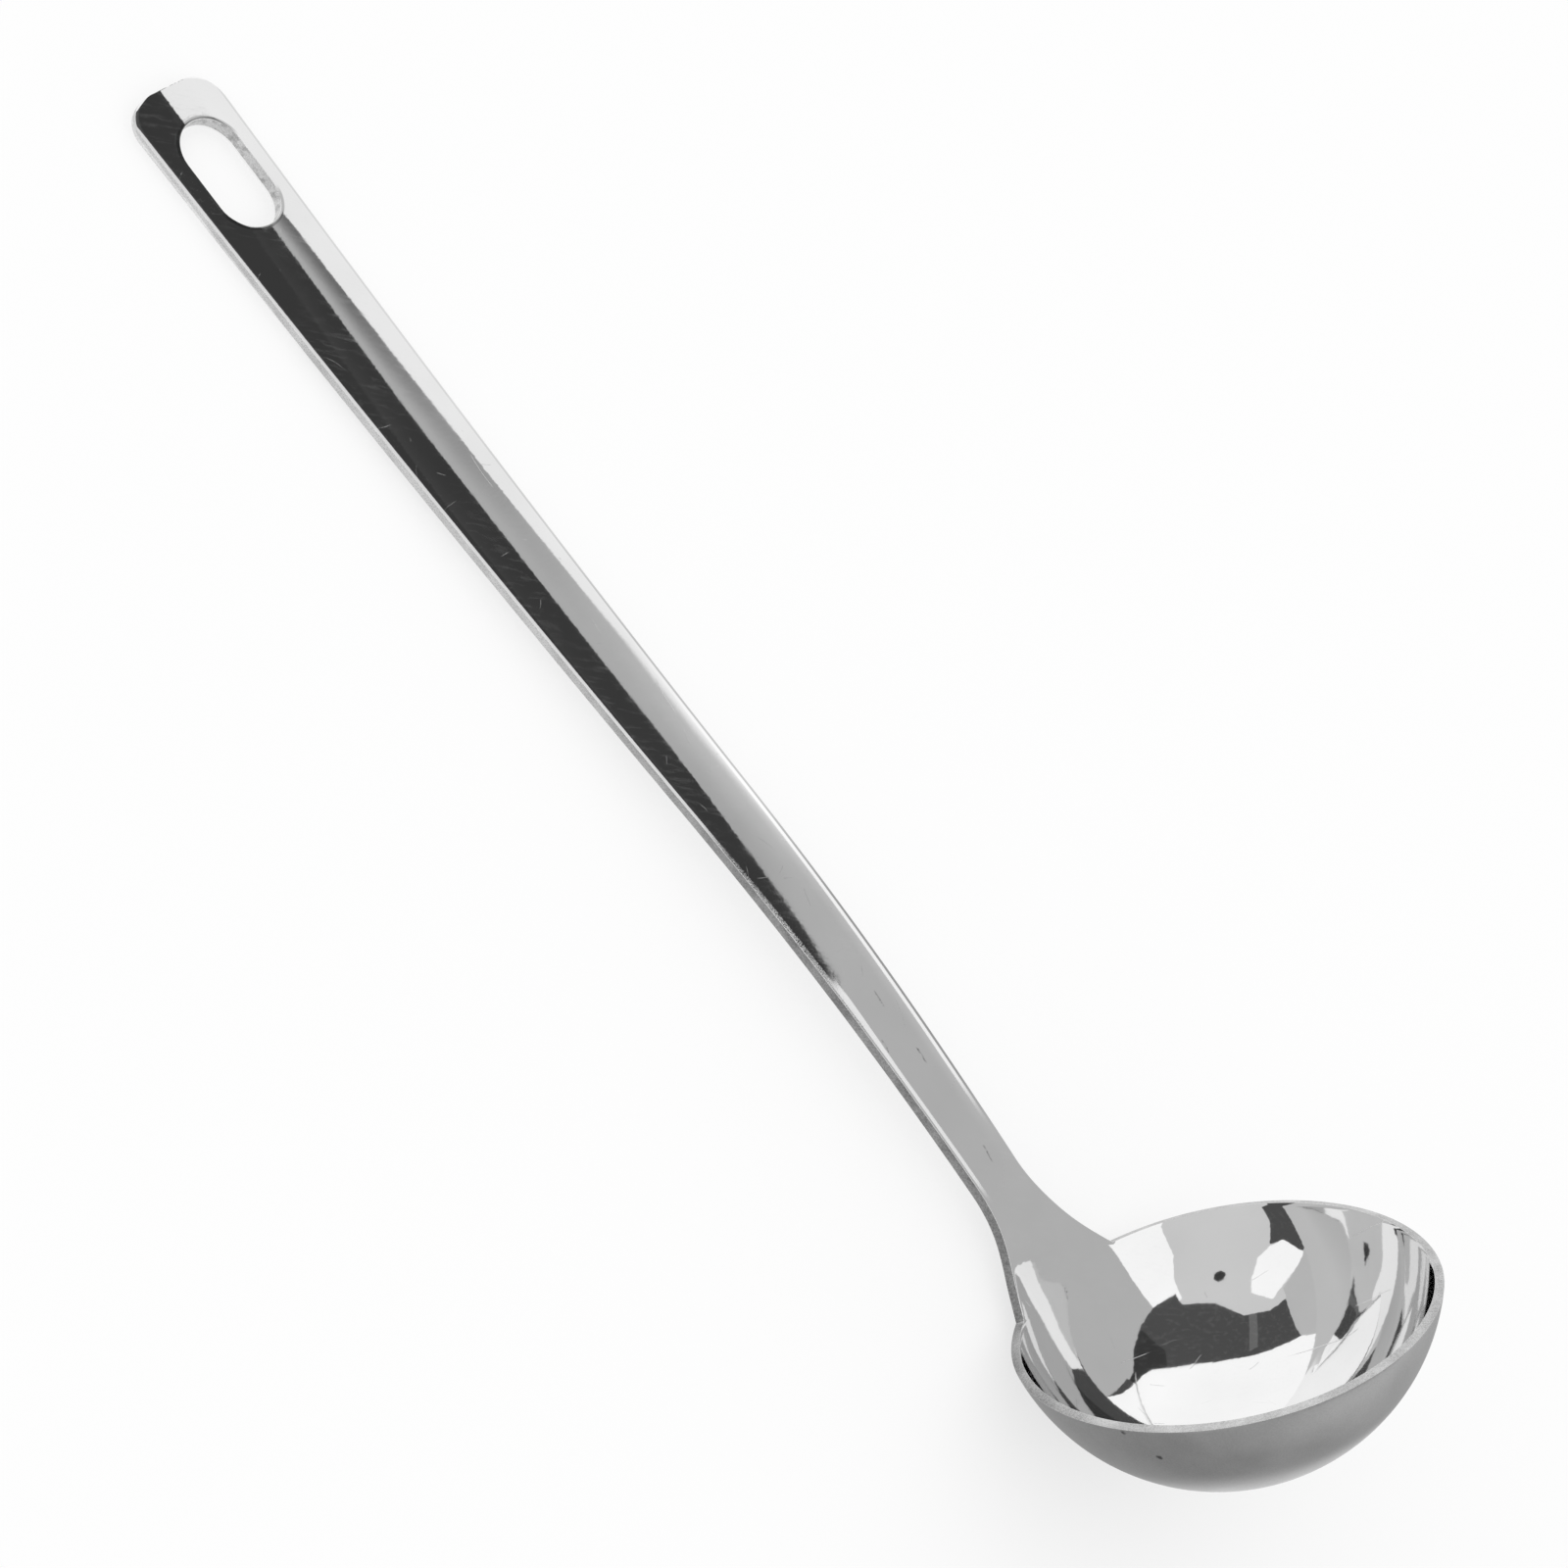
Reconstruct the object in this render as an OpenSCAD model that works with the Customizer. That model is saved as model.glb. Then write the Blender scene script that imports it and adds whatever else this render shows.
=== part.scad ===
/* [Bowl] */
// Inside diameter across the rim
rim_d = 75.5; // [65:0.5:90]
// Inside depth from the rim to the bottom
bowl_depth = 29; // [25:0.5:33]
// Thickness of the bowl wall
wall_t = 1.7; // [1.5:0.1:2]

/* [Handle] */
// Length along the handle from the rim to the tip
handle_l = 276; // [240:1:320]
// Thickness of the handle
sheet_t = 2.3; // [1.8:0.1:3]
// Width of the tapered strip where it would meet the rim
neck_w = 10.9; // [9:0.1:14]
// Width at the tip before its corners are rounded
tip_w = 23; // [20:0.1:28]
// Corner radius of the tip
tip_corner_r = 6.5; // [4:0.1:8]
// Width of the flare where it meets the rim
flare_w = 29.5; // [22:0.1:34]
// Length of the flare from the rim to the neck
flare_l = 23; // [16:1:30]
// Rounding along the edges of the handle and the rim
edge_r = 0.35; // [0.2:0.05:0.4]

/* [Bends of the handle] */
// Outward bend just above the rim
root_bend = 12; // [8:1:20]
// Length of the bend above the rim
root_bend_l = 17; // [12:1:24]
// Outward bend of the lower handle
lower_bend = 9; // [4:0.5:12]
// Length of the lower bend
lower_bend_l = 93; // [80:1:120]
// Upward bend of the upper handle
upper_bend = 3; // [1:0.5:8]

/* [Cross-section of the handle] */
// Radius of the crowned top
crown_r = 67; // [50:1:120]
// Distance from the rim at which the section is flat
flat_at = 48; // [36:1:60]
// Distance from the rim at which the full crown is reached
crown_at = 130; // [100:1:160]

/* [Hanging slot] */
// Length of the slot
slot_l = 24; // [18:0.5:28]
// Width of the slot
slot_w = 14; // [8:0.5:15]
// Distance from the slot's centre to the tip
slot_to_tip = 20; // [18:0.5:26]

/* [Hidden] */

// Colour of the steel
steel_colour = [0.78, 0.78, 0.79];
// Depth by which the handle runs down into the wall
root_overlap = 2.4;
// Depth of the handle's faces under the wall's faces at the rim
seam_gap = 0.03;
// Depth by which the buried end of the handle narrows on each side
buried_gap = 0.3;
// Reach of every cut past the faces
overrun = 4;

// Counts of facets
across_count = 14;
corner_count = 3;
root_count = 18;
middle_count = 34;
tip_count = 10;

// Bowl, a part of a sphere whose centre lies above the rim
rim_r = rim_d / 2;
inner_r = (rim_r * rim_r + bowl_depth * bowl_depth) / (2 * bowl_depth);
outer_r = inner_r + wall_t;
centre_z = inner_r - bowl_depth;
rim_slope = acos(centre_z / inner_r);

// Distances along the handle from the rim
upper_start = root_bend_l + lower_bend_l;
upper_bend_l = handle_l - upper_start;
corner_start = handle_l - tip_corner_r;
slot_at = handle_l - slot_to_tip;

function clamp01(x) = min(1, max(0, x));
function ease(x) = clamp01(x) * clamp01(x) * (3 - 2 * clamp01(x));
function degrees(x) = x * 180 / PI;
function radians(x) = x * PI / 180;

// Slope of the handle against the rim, at a distance l from the rim
function slope(l) = l < 0
    ? rim_slope + degrees(l / inner_r)
    : rim_slope
      - root_bend * clamp01(l / root_bend_l)
      - lower_bend * clamp01((l - root_bend_l) / lower_bend_l)
      + upper_bend * clamp01((l - upper_start) / upper_bend_l);

// Step along an arc of a given length between two slopes
function arc_step(length, from, to) =
    let (half_turn = (to - from) / 2)
    let (chord_share = half_turn == 0 ? 1 : degrees(sin(half_turn)) / half_turn)
    length * chord_share * [cos(from + half_turn), sin(from + half_turn)];

// Part of a stretch that lies before a distance l
function stretch(l, start, length) = min(max(l - start, 0), length);

// Step along one bend of the handle up to a distance l
function bend_step(l, start, length) =
    arc_step(stretch(l, start, length), slope(start), slope(start + stretch(l, start, length)));

// Point on the centre line of the top face, as distance from the bowl's axis and height over the rim
function centre_line(l) = l < 0
    ? [inner_r * sin(slope(l)), centre_z - inner_r * cos(slope(l))]
    : [rim_r, 0]
      + bend_step(l, 0, root_bend_l)
      + bend_step(l, root_bend_l, lower_bend_l)
      + bend_step(l, upper_start, upper_bend_l);

// Half width of the handle, with its flare and the round corners of its tip
function corner_inset(l) = l < corner_start
    ? 0
    : tip_corner_r - sqrt(max(0, pow(tip_corner_r, 2) - pow(l - corner_start, 2)));
function strip_half(l) = (neck_w + (tip_w - neck_w) * l / handle_l) / 2;
function flare_half(l) = (flare_w - neck_w) / 2 * pow(max(0, 1 - l / flare_l), 2);
function half_width(l) = strip_half(l) + flare_half(l) - corner_inset(l);

// Curvature across the handle, hollow like the bowl at the rim and crowned at the tip
function across_curve(l) =
    (1 - ease(l / flat_at)) / inner_r - ease((l - flat_at) / (crown_at - flat_at)) / crown_r;

// Distance by which the rim lies lower at a place beside the centre line
function rim_drop(across) =
    inner_r * radians(rim_slope - acos(cos(rim_slope) / cos(degrees(across / inner_r))));

// Thickness and the depth of the top face under the wall's inner face
function seam(l) = seam_gap * clamp01(1 - l / root_overlap) + buried_gap * clamp01(-l / root_overlap);
function thickness(l) = wall_t + (sheet_t - wall_t) * clamp01(l / flare_l) - 2 * seam(l);

// Quarter turn of an edge's rounding, from a start angle
function edge_arc(centre, start) =
    [for (i = [0 : corner_count])
        let (a = start + 90 * i / corner_count)
        centre + edge_r * [-cos(a), -sin(a)]];

// Outline of a flat section from its left side, as distance across and depth under the top face
function flat_section(w, t) =
    let (inner_w = w - edge_r)
    concat(
        edge_arc([-inner_w, edge_r], 0),
        [for (i = [1 : across_count - 1]) [inner_w * (2 * i / across_count - 1), 0]],
        edge_arc([inner_w, edge_r], 90),
        edge_arc([inner_w, t - edge_r], 180),
        [for (i = [1 : across_count - 1]) [inner_w * (1 - 2 * i / across_count), t]],
        edge_arc([-inner_w, t - edge_r], 270)
    );

// A flat section rolled to a curvature, as distance across and height over the centre line
function rolled(p, curve, sunk) = curve == 0
    ? [p[0], -p[1] - sunk]
    : let (r = 1 / curve, d = p[1] + sunk, turn = degrees(p[0] * curve))
      [(r + d) * sin(turn), r - (r + d) * cos(turn)];

// Section of the handle at a distance l, placed in the bowl's frame, which follows the rim near the bowl
function section(l) =
    let (curve = across_curve(l), level = clamp01(1 - l / flare_l))
    [for (p = flat_section(half_width(l), thickness(l)))
        let (q = rolled(p, curve, seam(l)), here = l - level * rim_drop(p[0]))
        let (at = centre_line(here), a = slope(here))
        [at[0] - q[1] * sin(a), q[0], at[1] + q[1] * cos(a)]];

// Distances of all sections: the flare, the middle and the round corners of the tip
stations = concat(
    [for (i = [0 : root_count - 1]) -root_overlap + (flare_l + root_overlap) * i / root_count],
    [for (i = [0 : middle_count - 1]) flare_l + (corner_start - flare_l) * i / middle_count],
    [for (i = [0 : tip_count]) corner_start + tip_corner_r * sin(90 * i / tip_count)]
);
sections = [for (l = stations) section(l)];
ring = len(sections[0]);
last = len(stations) - 1;

// How the ladle lies: on the underside of its bowl and on the tip of its handle
function table_angle(p) =
    let (x = p[0], z = p[2] - centre_z)
    atan2(z, x) + asin(outer_r / norm([x, z]));
lie_angle = min([for (s = sections) for (p = s) if (p[0] > 2 * outer_r) table_angle(p)]);
tip_reach = max([for (p = sections[last]) p[0] * cos(lie_angle) + (p[2] - centre_z) * sin(lie_angle)]);
middle_x = (tip_reach - outer_r) / 2;

ladle();

// The whole ladle in one piece of steel sheet
module ladle() {
    color(steel_colour)
    lying()
    union() {
        bowl();
        handle();
    }
}

// Moves a shape from the bowl's frame to where it lies on the table
module lying() {
    translate([-middle_x, 0, outer_r])
    rotate([0, lie_angle, 0])
    translate([0, 0, -centre_z])
    children();
}

// Bowl with a ground and rounded rim
module bowl() {
    translate([0, 0, centre_z])
    rotate_extrude($fn = 120)
    wall_profile();
}

// Half section of the bowl, with the centre of the sphere at the origin
module wall_profile() {
    round_angle = degrees(edge_r / inner_r);
    intersection() {
        difference() {
            circle(r = outer_r, $fn = 120);
            circle(r = inner_r, $fn = 120);
        }
        wedge(rim_slope - round_angle);
    }
    for (r = [inner_r + edge_r, outer_r - edge_r])
        rotate(rim_slope - round_angle)
        translate([0, -r])
        circle(r = edge_r, $fn = 32);
    rotate(rim_slope - round_angle)
    translate([0, edge_r - outer_r])
    square([edge_r, wall_t - 2 * edge_r]);
}

// Sector from straight down, turned towards +X
module wedge(angle) {
    reach = 2 * outer_r;
    polygon([
        [0, 0],
        [0, -reach],
        [reach, -reach],
        reach * [sin(angle), -cos(angle)]
    ]);
}

// Handle and flare with the hanging slot
module handle() {
    difference() {
        strip();
        slot();
    }
}

// Smooth strip through all sections
module strip() {
    polyhedron(
        points = [for (s = sections) for (p = s) p],
        faces = concat(
            [for (k = [0 : ring / 2 - 2]) each end_faces(k, ring - 1 - k, 1)],
            [for (k = [0 : ring / 2 - 2]) each end_faces(last * ring + ring - 1 - k, last * ring + k, -1)],
            [for (j = [0 : last - 1]) for (k = [0 : ring - 1]) each side_faces(j, k)]
        )
    );
}

// Two triangles across an end, between opposite points and the next two
function end_faces(a, b, step) = [[a, b - step, a + step], [a, b, b - step]];

// Two triangles between two neighbouring sections
function side_faces(j, k) =
    let (n = (k + 1) % ring)
    [
        [j * ring + k, (j + 1) * ring + n, (j + 1) * ring + k],
        [j * ring + k, j * ring + n, (j + 1) * ring + n]
    ];

// Slot with round ends, cut square to the top face
module slot() {
    at = centre_line(slot_at);
    translate([at[0], 0, at[1]])
    rotate([0, -slope(slot_at), 0])
    translate([0, 0, -sheet_t - overrun])
    linear_extrude(sheet_t + 2 * overrun)
    stadium(slot_l, slot_w);
}

// Flat shape with parallel sides and half-round ends
module stadium(length, width) {
    straight = length - width;
    square([straight, width], center = true);
    for (side = [-1, 1])
        translate([side * straight / 2, 0])
        circle(r = width / 2, $fn = 96);
}
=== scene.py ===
import math

import bmesh
import bpy
from mathutils import Matrix, Vector


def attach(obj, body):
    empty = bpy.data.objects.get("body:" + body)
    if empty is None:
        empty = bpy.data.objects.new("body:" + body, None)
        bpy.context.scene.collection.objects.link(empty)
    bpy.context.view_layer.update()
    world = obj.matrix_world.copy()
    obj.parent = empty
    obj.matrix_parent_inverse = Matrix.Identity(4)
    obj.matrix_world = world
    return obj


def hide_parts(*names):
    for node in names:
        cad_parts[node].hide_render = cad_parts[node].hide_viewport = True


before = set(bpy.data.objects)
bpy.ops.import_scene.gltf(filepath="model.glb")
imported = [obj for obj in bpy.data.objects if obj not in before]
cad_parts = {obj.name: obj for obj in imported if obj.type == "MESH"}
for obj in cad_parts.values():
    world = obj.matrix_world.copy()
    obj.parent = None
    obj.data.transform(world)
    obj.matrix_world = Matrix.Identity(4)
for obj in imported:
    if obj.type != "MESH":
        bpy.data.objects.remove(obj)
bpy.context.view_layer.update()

bl_info = {
    "name": "Polished Ladle",
    "version": (1, 0, 0),
    "blender": (4, 5, 0),
    "location": "3D View > Sidebar > Ladle",
    "description": "Models a one-piece polished steel ladle and the studio it is shown in",
    "category": "Add Mesh",
}

MM = 0.001

# Distance and turn under which two places count as one, and curvature or half turn that counts as none
NEAR = 1e-6
NEAR_TURN = 1e-4
STRAIGHT = 1e-9

# Blend between the bowl and the handle: its full and its fading width as shares of the flare's width, and its
# reach into the bowl as a share of its length
BLEND_FULL = 0.3
BLEND_FADE = 0.4
BLEND_WITHIN = 0.4

# Rows of faces from the bowl's bottom to its rim and from there to the tip, and columns round the bowl's free rim
# and across the handle
BOWL_ROWS = 72
BOWL_COLUMNS = 168
FLARE_ROWS = 30
STRIP_ROWS = 110
SLOT_ROWS = 24
END_ROWS = 3
TIP_ROWS = 12
COLUMNS = 24

# Column along each long edge of the handle: its width, which is at most one of six parts of the half width
EDGE_COLUMN = 0.8 * MM
EDGE_PARTS = 6

# Share of the flare's length after which the columns have left their places at the rim
COLUMNS_SETTLE = 0.8

# Block of faces round the slot, and the share of the way left to the slot's outline that each ring in it covers
SLOT_COLUMNS = 3
SLOT_MARGIN = 3.2 * MM
SLOT_STEPS = (0.3, 0.4, 0.5, 0.55, 1.0)

# Faces across the rounding of an edge, and the material of each kind of face
ROUND_SEGMENTS = 3
TOP, UNDER, EDGE, CORNER = range(4)

# Stretches of the handle that carry marks, painted highlights or painted shade, in metres from the rim: where each
# starts, where it is full, where it starts to fade and where it ends
DENTED = (0.02, 0.03, 0.05, 0.085)
GRAINED = (0.055, 0.066, 0.08, 0.115)
# Painted highlight: a lighter band along the right edge
RIGHT_SHEEN = (0.015, 0.05, 0.1, 0.15)
# Painted highlights: glints along the left edge and the right edge
LEFT_GLINT = (0.018, 0.026, 0.065, 0.073)
RIGHT_GLINT = (0.028, 0.045, 0.11, 0.16)
# Painted shade on the side faces near the neck
NECK_SHADE = (-0.001, 0.0, 0.07, 0.16)

# Camera fitted to the photo, in metres and in millimetres of its film
CAMERA_AT = (-0.02576, 0.59485, 0.68583)
CAMERA_RIGHT = (-0.59783, -0.60361, 0.52751)
CAMERA_FORWARD = (0.01924, -0.66891, -0.7431)
CAMERA_LENS = 112.5
CAMERA_FILM = 36
CAMERA_SIGHT = 20

TABLE_R = 3
TABLE_SIDES = 96
TABLE_ROUGHNESS = 0.9

# Middle of the room of cards, its half width, and the share of it by which each card stands before the last one
BOWL_AT = Vector((-0.12, 0, 0.04))
REACH = 2.5
CARD_STEP = 0.002

WALLS = {
    "front": lambda u, v: Vector((u, -1, v)),
    "back": lambda u, v: Vector((u, 1, v)),
    "side": lambda u, v: Vector((1, u, v)),
    "left": lambda u, v: Vector((-1, u, v)),
    "top": lambda u, v: Vector((u, v, 1)),
}

# Cards round the bowl: name, wall, tone and corners. A corner is a place on a wall that stands one unit from the
# bowl, and a later card covers an earlier one.
CARDS = (
    ("left_grey", "left", "grey", ((-1, -0.1), (-1, 1), (1, 1), (1, -0.1))),
    ("front_grey", "front", "grey", ((-1, -0.1), (-1, 1), (0.5, 1), (0.5, -0.1))),
    ("front_strip", "front", "dark", (
        (0.22, 0.42), (0.37, 0.66), (0.45, 0.86), (0.5, 1), (0.42, 1), (0.36, 0.8), (0.3, 0.62))),
    ("front_white", "front", "white", (
        (0.1, -0.1), (0.1, 0.15), (0.18, 0.33), (0.24, 0.46), (0.37, 0.66), (0.45, 0.86), (0.51, 1), (1, 1),
        (1, -0.1))),
    ("top_grey", "top", "grey", ((-1, -1), (-1, 0.2), (0.5, 0.2), (0.5, -1))),
    ("top_light", "top", "light", ((-1, 0), (-1, 1), (1, 1), (1, 0.6), (0.1, 0))),
    ("top_window", "top", "white", (
        (-0.65, 0), (-0.6, 0.57), (-0.2, 0.5), (0, 0.35), (0.2, 0.28), (0.2, 0), (-0.5, 0))),
    ("top_dark", "top", "dark", (
        (0.12, 0.26), (0.24, 0.24), (0.35, 0.38), (0.5, 0.53), (0.65, 0.6), (0.85, 0.68), (1, 0.74), (1, -0.06),
        (0.8, -0.2), (0.6, -0.43), (0.5, -0.58), (0.5, -0.75), (0.52, -1), (0.44, -1), (0.4, -0.8), (0.325, -0.65),
        (0.24, -0.5), (0.12, -0.2), (0.08, 0))),
    ("top_black", "top", "black", (
        (0.14, -0.25), (0.45, -0.25), (0.6, -0.43), (0.5, -0.58), (0.5, -0.75), (0.52, -1), (0.44, -1), (0.4, -0.8),
        (0.325, -0.65), (0.24, -0.5))),
    ("top_white", "top", "white", (
        (0.5, -0.6), (0.6, -0.45), (0.8, -0.22), (1, -0.07), (1, -1), (0.52, -1), (0.49, -0.75))),
    ("top_spot", "top", "black", (
        (0.25, 0.78), (0.3, 0.73), (0.36, 0.76), (0.39, 0.86), (0.38, 0.93), (0.34, 0.95), (0.28, 0.9))),
    ("side_white", "side", "white", (
        (-1, -0.1), (-1, 1), (-0.08, 1), (0, 0.9), (0.1, 0.75), (0.2, 0.55), (0.3, 0.37), (0.37, 0.22),
        (0.41, 0.13), (0.41, -0.1))),
    ("side_dark", "side", "dark", (
        (-0.08, 1), (0, 0.9), (0.1, 0.75), (0.2, 0.55), (0.3, 0.37), (0.37, 0.22), (0.41, 0.13), (0.5, 0.2),
        (0.7, 0.3), (0.95, 0.4), (0.8, 0.6), (0.75, 1))),
    ("side_grey", "side", "dim", (
        (0.41, -0.1), (0.41, 0.13), (0.5, 0.2), (0.7, 0.3), (0.95, 0.4), (1, 0.4), (1, -0.1))),
    ("side_streak", "side", "dull", ((0.22, 0.64), (0.3, 0.57), (0.79, 0.8), (0.78, 0.93))),
    ("side_light", "side", "light", ((0.75, 1), (0.8, 0.6), (0.95, 0.4), (1, 0.4), (1, 1))),
    ("back_light", "back", "light", ((-1, -0.1), (-1, 1), (1, 1), (1, -0.1))),
    ("back_grey", "back", "dim", ((0.45, 0), (0.6, 0.1), (0.85, 0.4), (1, 0.4), (1, -0.1), (0.4, -0.1))),
    ("back_white", "back", "white", (
        (0.3, 0.15), (0.3, 0.33), (0.35, 0.5), (0.6, 0.75), (0.8, 0.87), (0.87, 0.8), (1, 0.6), (0.85, 0.45),
        (0.6, 0.1), (0.5, 0))),
    ("back_dark", "back", "dark", (
        (-0.1, 0.15), (0.1, 0.18), (0.28, 0.3), (0.3, 0.15), (0.45, 0.05), (0.48, 0), (0.4, -0.08), (-0.02, -0.1))),
)

# A screen in line with the bowl, which sees it edge-on, so that only the handle reflects its face
SCREEN_AT = Vector((-0.1336, 0.0014, 0))
SCREEN_TURN = math.radians(28)
SCREEN_WAY = Vector((math.sin(SCREEN_TURN), -math.cos(SCREEN_TURN), 0))
SCREEN_SPAN = (0.175, 2.6)
SCREEN_TOP = 2.6

# Slanting lines on the screen, each through two places that are given by distance along it and height
WHITE_START = ((0.2, 0.165), (0.37, 0.27))
WHITE_TOP = ((0.5, 0.35), (1.1, 0.842))
GREY_START = ((0.18, 0.205), (0.366, 0.428))
GREY_TOP = ((0.366, 0.429), (1.0, 1.095))
GREY_FAR = ((1.0, 1.095), (1.32, 1.327))
GREY_END = ((1.2, 0.85), (1.87, 2.2))
DARK_END = ((1.5, 1.45), (1.62, 2.0))
DARK_CORNER = ((1.843, 2.093), (1.93, 2.19))

# Card just over the floor that the bowl reflects, with a painted shadow round the bowl: its middle, its bright
# spot, its reach and its corners
SHADE_AT = Vector((-0.2, 0.025, 0.001))
SPOT_AT = Vector((-0.165, -0.022, 0.001))
SHADE_REACH = 2.4
SHADE_CORNERS = ((-1, -0.25), (1, -0.25), (1, 1), (-1, 1))


def length_property(name, description, millimetres, **limits):
    return bpy.props.FloatProperty(
        name=name, description=description, default=millimetres * MM, unit="LENGTH", **limits)


def turn_property(name, description, degrees):
    return bpy.props.FloatProperty(
        name=name, description=description, default=math.radians(degrees), unit="ROTATION")


def colour_property(name, description, grey):
    return bpy.props.FloatVectorProperty(
        name=name, description=description, default=(grey, grey, grey), size=3, min=0, max=1, subtype="COLOR")


def share_property(name, description, share):
    return bpy.props.FloatProperty(
        name=name, description=description, default=share, min=0, max=1, subtype="FACTOR")


def light_property(name, description, strength):
    return bpy.props.FloatProperty(name=name, description=description, default=strength, min=0)


class LadleSizes(bpy.types.PropertyGroup):
    rim_d: length_property("Rim diameter", "Inside diameter across the rim", 75.5, min=0.065, max=0.09)
    bowl_depth: length_property("Bowl depth", "Inside depth from the rim to the bottom", 29, min=0.025, max=0.033)
    wall_t: length_property("Wall", "Thickness of the bowl's wall", 1.7)
    handle_l: length_property("Handle length", "Length along the handle from the rim to the tip", 276)
    sheet_t: length_property("Sheet", "Thickness of the handle", 2.3)
    neck_w: length_property("Neck width", "Width of the tapered strip where it would meet the rim", 10.9)
    tip_w: length_property("Tip width", "Width at the tip before its corners are rounded", 23)
    tip_corner_r: length_property("Tip corners", "Corner radius of the tip", 6.5)
    flare_w: length_property("Flare width", "Width of the flare where it meets the rim", 29.5)
    flare_l: length_property("Flare length", "Length of the flare from the rim to the neck", 23)
    edge_r: length_property("Edge rounding", "Rounding along the ground edges", 0.35)
    root_bend: turn_property("Root bend", "Outward bend just above the rim", 12)
    root_bend_l: length_property("Root bend length", "Length of the bend above the rim", 17)
    lower_bend: turn_property("Lower bend", "Outward bend of the lower handle", 9)
    lower_bend_l: length_property("Lower bend length", "Length of the lower bend", 93)
    upper_bend: turn_property("Upper bend", "Upward bend of the upper handle", 3)
    crown_r: length_property("Crown radius", "Radius of the crowned top of the handle", 67)
    flat_at: length_property("Flat section", "Distance from the rim at which the section is flat", 48)
    crown_at: length_property("Full crown", "Distance from the rim at which the full crown is reached", 130)
    slot_l: length_property("Slot length", "Length of the hanging slot", 24)
    slot_w: length_property("Slot width", "Width of the hanging slot", 14)
    slot_to_tip: length_property("Slot to tip", "Distance from the slot's centre to the tip", 20)
    blend_turn: turn_property("Blend", "Turn by which the rim opens where the bowl runs into the handle", 5.5)
    blend_l: length_property("Blend length", "Distance over which the bowl eases into the handle", 8)
    roll_w: length_property("Rolled edge", "Width over which buffing has rolled off the handle's long edges", 1)
    roll_d: length_property("Rolled depth", "Depth by which buffing has rolled off those edges", 0.12)
    lie: turn_property("Lie", "Turn of the bowl at which the ladle lies on its bowl and its tip", 57.4846)


class LadleFinish(bpy.types.PropertyGroup):
    polished_colour: colour_property("Polished steel", "Colour of the mirror-polished faces", 0.83)
    polished_roughness: share_property("Polished roughness", "Roughness of the mirror-polished faces", 0.045)
    satin_colour: colour_property("Satin steel", "Colour of the outside of the bowl and the underside", 0.505)
    satin_roughness: share_property("Satin roughness", "Roughness of the outside and the underside", 0.315)
    ground_colour: colour_property("Ground steel", "Colour of the ground edge faces", 0.66)
    ground_roughness: share_property("Ground roughness", "Roughness of the ground edge faces", 0.31)
    # Near white, so that the partly metallic corners show a painted highlight
    corner_sheen_colour: colour_property("Edge corners", "Colour of the rounded corners of the edges", 0.93)
    corner_roughness: share_property("Corner roughness", "Roughness of the rounded corners of the edges", 0.2)
    wear: share_property("Wear", "Strength of the scratches and marks", 0.8)


class LadleStudio(bpy.types.PropertyGroup):
    table_colour: colour_property("Table", "Colour of the table", 0.97)
    table_glow: share_property(
        "Table glow", "Share of plain white in the table where it is seen or mirrored", 0.65)
    world_colour: colour_property("Backdrop", "Colour of the surroundings behind the cards", 1.0)
    white: light_property("White cards", "Strength of the windows and lamps", 1.1)
    light: light_property("Light cards", "Strength of the lit walls", 0.68)
    dim: light_property("Dim cards", "Strength of the walls away from the light", 0.55)
    grey: light_property("Grey cards", "Strength of the grey walls", 0.5)
    dull: light_property("Dull cards", "Strength of the dull streak in the dark", 0.16)
    dark: light_property("Dark cards", "Strength of the dark panels", 0.082)
    black: light_property("Black cards", "Strength of the darkest parts", 0.045)


def clamp01(x):
    return min(1.0, max(0.0, x))


def ease(x):
    return clamp01(x) ** 2 * (3 - 2 * clamp01(x))


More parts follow.
